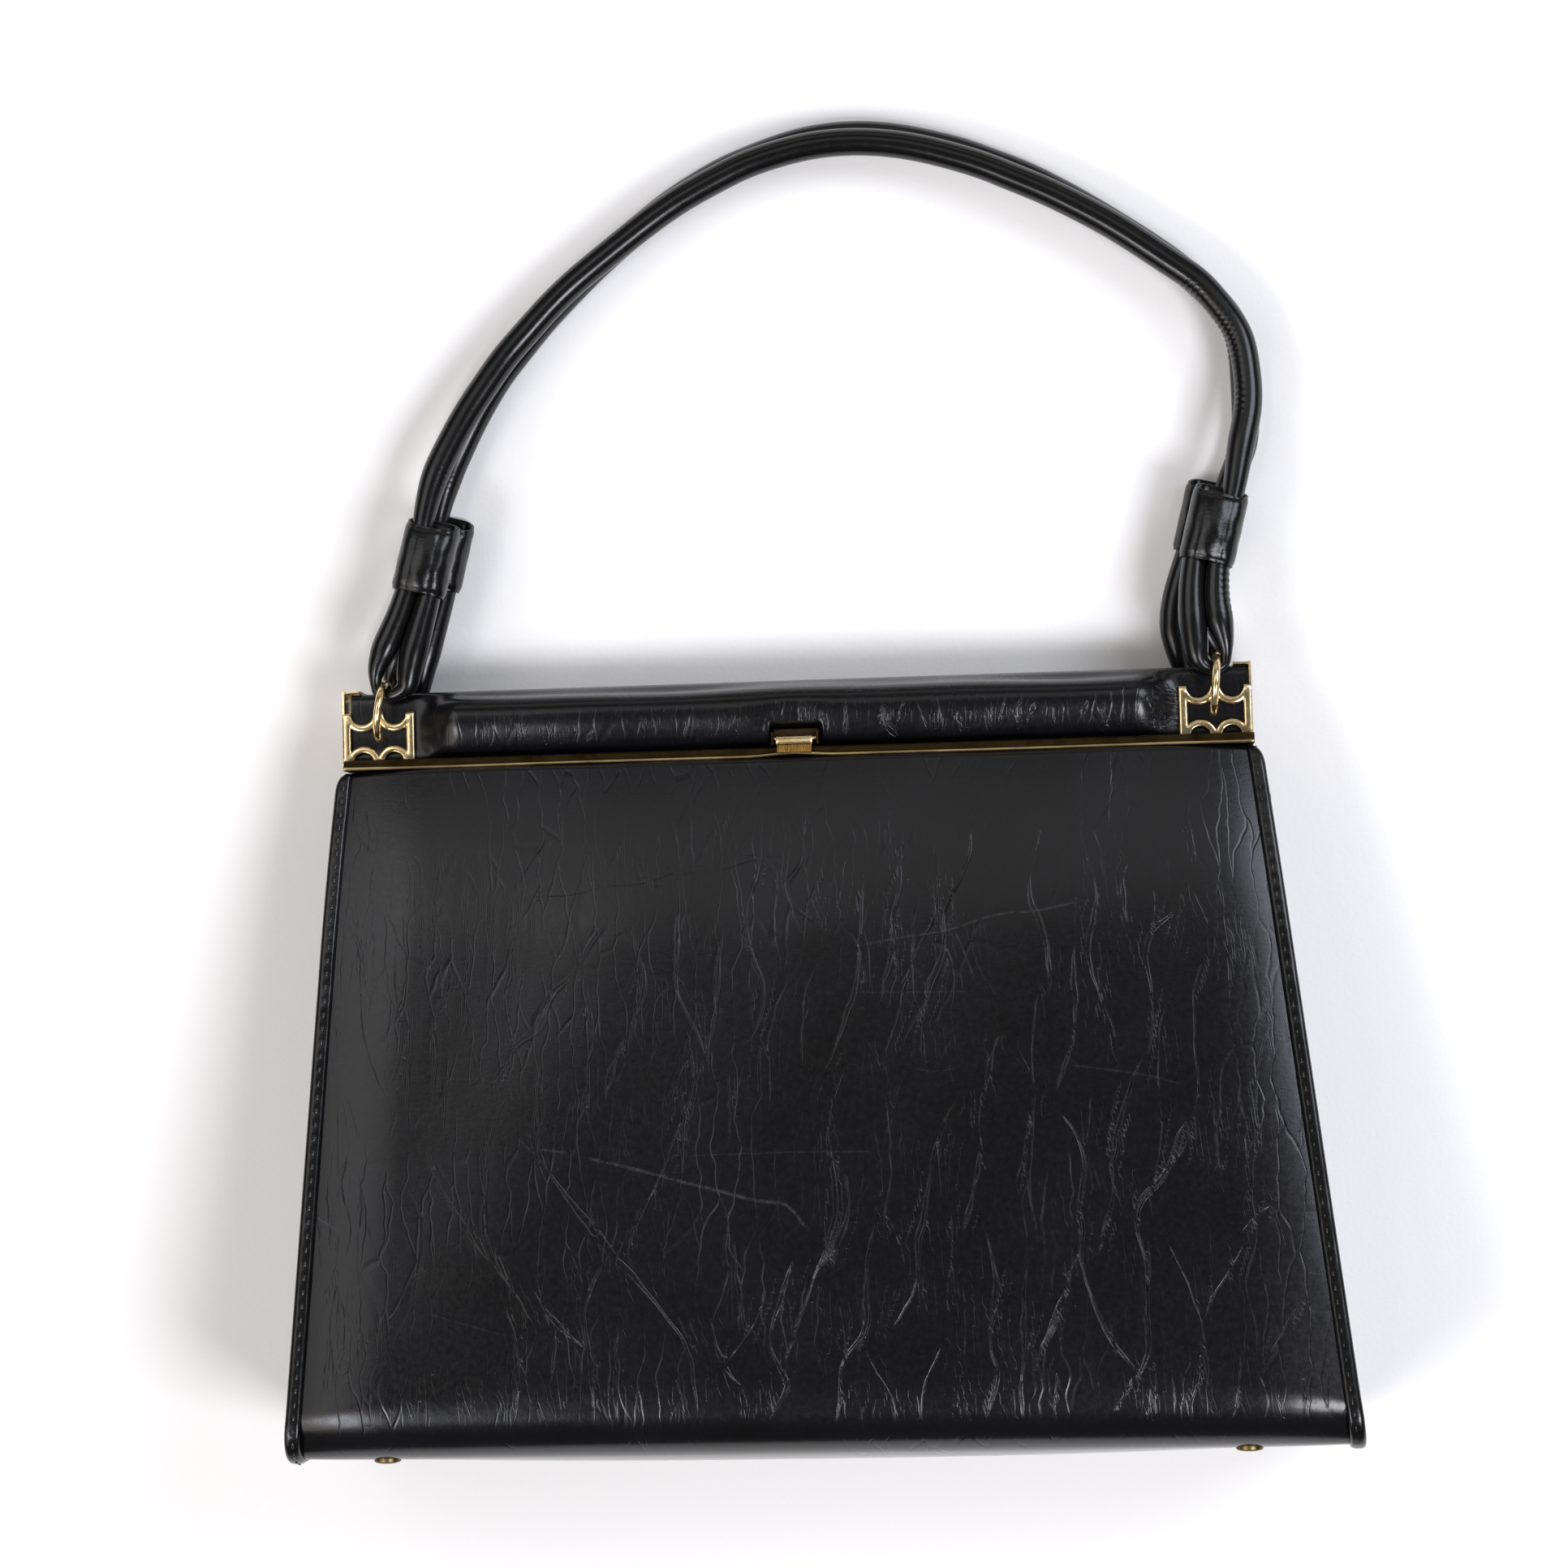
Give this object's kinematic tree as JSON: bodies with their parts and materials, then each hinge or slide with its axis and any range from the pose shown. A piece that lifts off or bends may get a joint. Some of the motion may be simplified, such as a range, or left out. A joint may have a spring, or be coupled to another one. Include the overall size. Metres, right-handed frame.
{
  "type": "frame handbag",
  "caption": "Flat-lying leather frame handbag with a trapezoid body, padded top rolls, cut-out corner plaques with rings, rolled handles and a thumb latch on the front rail.",
  "frame": {"origin": "middle of the back panel, on the face that the bag rests on", "axes": "+X across the bag to the right seen from the front, +Y from the base to the handles, +Z out of the front panel"},
  "size_m": [0.2998, 0.3851, 0.0807],
  "materials": {
    "panel_leather": "smooth, worn satin, black",
    "trim_leather": "smooth, semi-gloss, black",
    "gold_metal": "polished gold tone, worn",
    "dark_metal": "dark, satin"
  },
  "bodies": {
    "bag": {"body_wrap": "panel_leather", "edge_left": "trim_leather", "edge_right": "trim_leather", "gusset_left": "panel_leather", "gusset_right": "panel_leather", "rail_front": "gold_metal", "rail_back": "gold_metal", "pad_front": "panel_leather", "pad_back": "panel_leather", "latch_housing": "dark_metal", "plaque_front_left": "gold_metal", "plaque_front_right": "gold_metal", "plaque_back_left": "gold_metal", "plaque_back_right": "gold_metal", "ring_front_left": "gold_metal", "ring_front_right": "gold_metal", "ring_back_left": "gold_metal", "ring_back_right": "gold_metal", "foot_front_left": "gold_metal", "foot_front_right": "gold_metal", "foot_back_left": "gold_metal", "foot_back_right": "gold_metal", "rivet_left": "dark_metal", "rivet_right": "dark_metal", "handle_front": "trim_leather", "handle_back": "trim_leather", "keeper_front_left": "trim_leather", "keeper_front_right": "trim_leather", "keeper_back_left": "trim_leather", "keeper_back_right": "trim_leather"},
    "latch": {"latch_tab": "gold_metal"}
  },
  "joints": [
    {"name": "latch_lift", "type": "hinge", "parent": "bag", "child": "latch", "pos_m": [-0.0033, 0.10748, 0.03491], "axis": [-1, 0, 0], "range_deg": [0, 20], "stiffness_Nm_per_rad": 0.064}
  ]
}
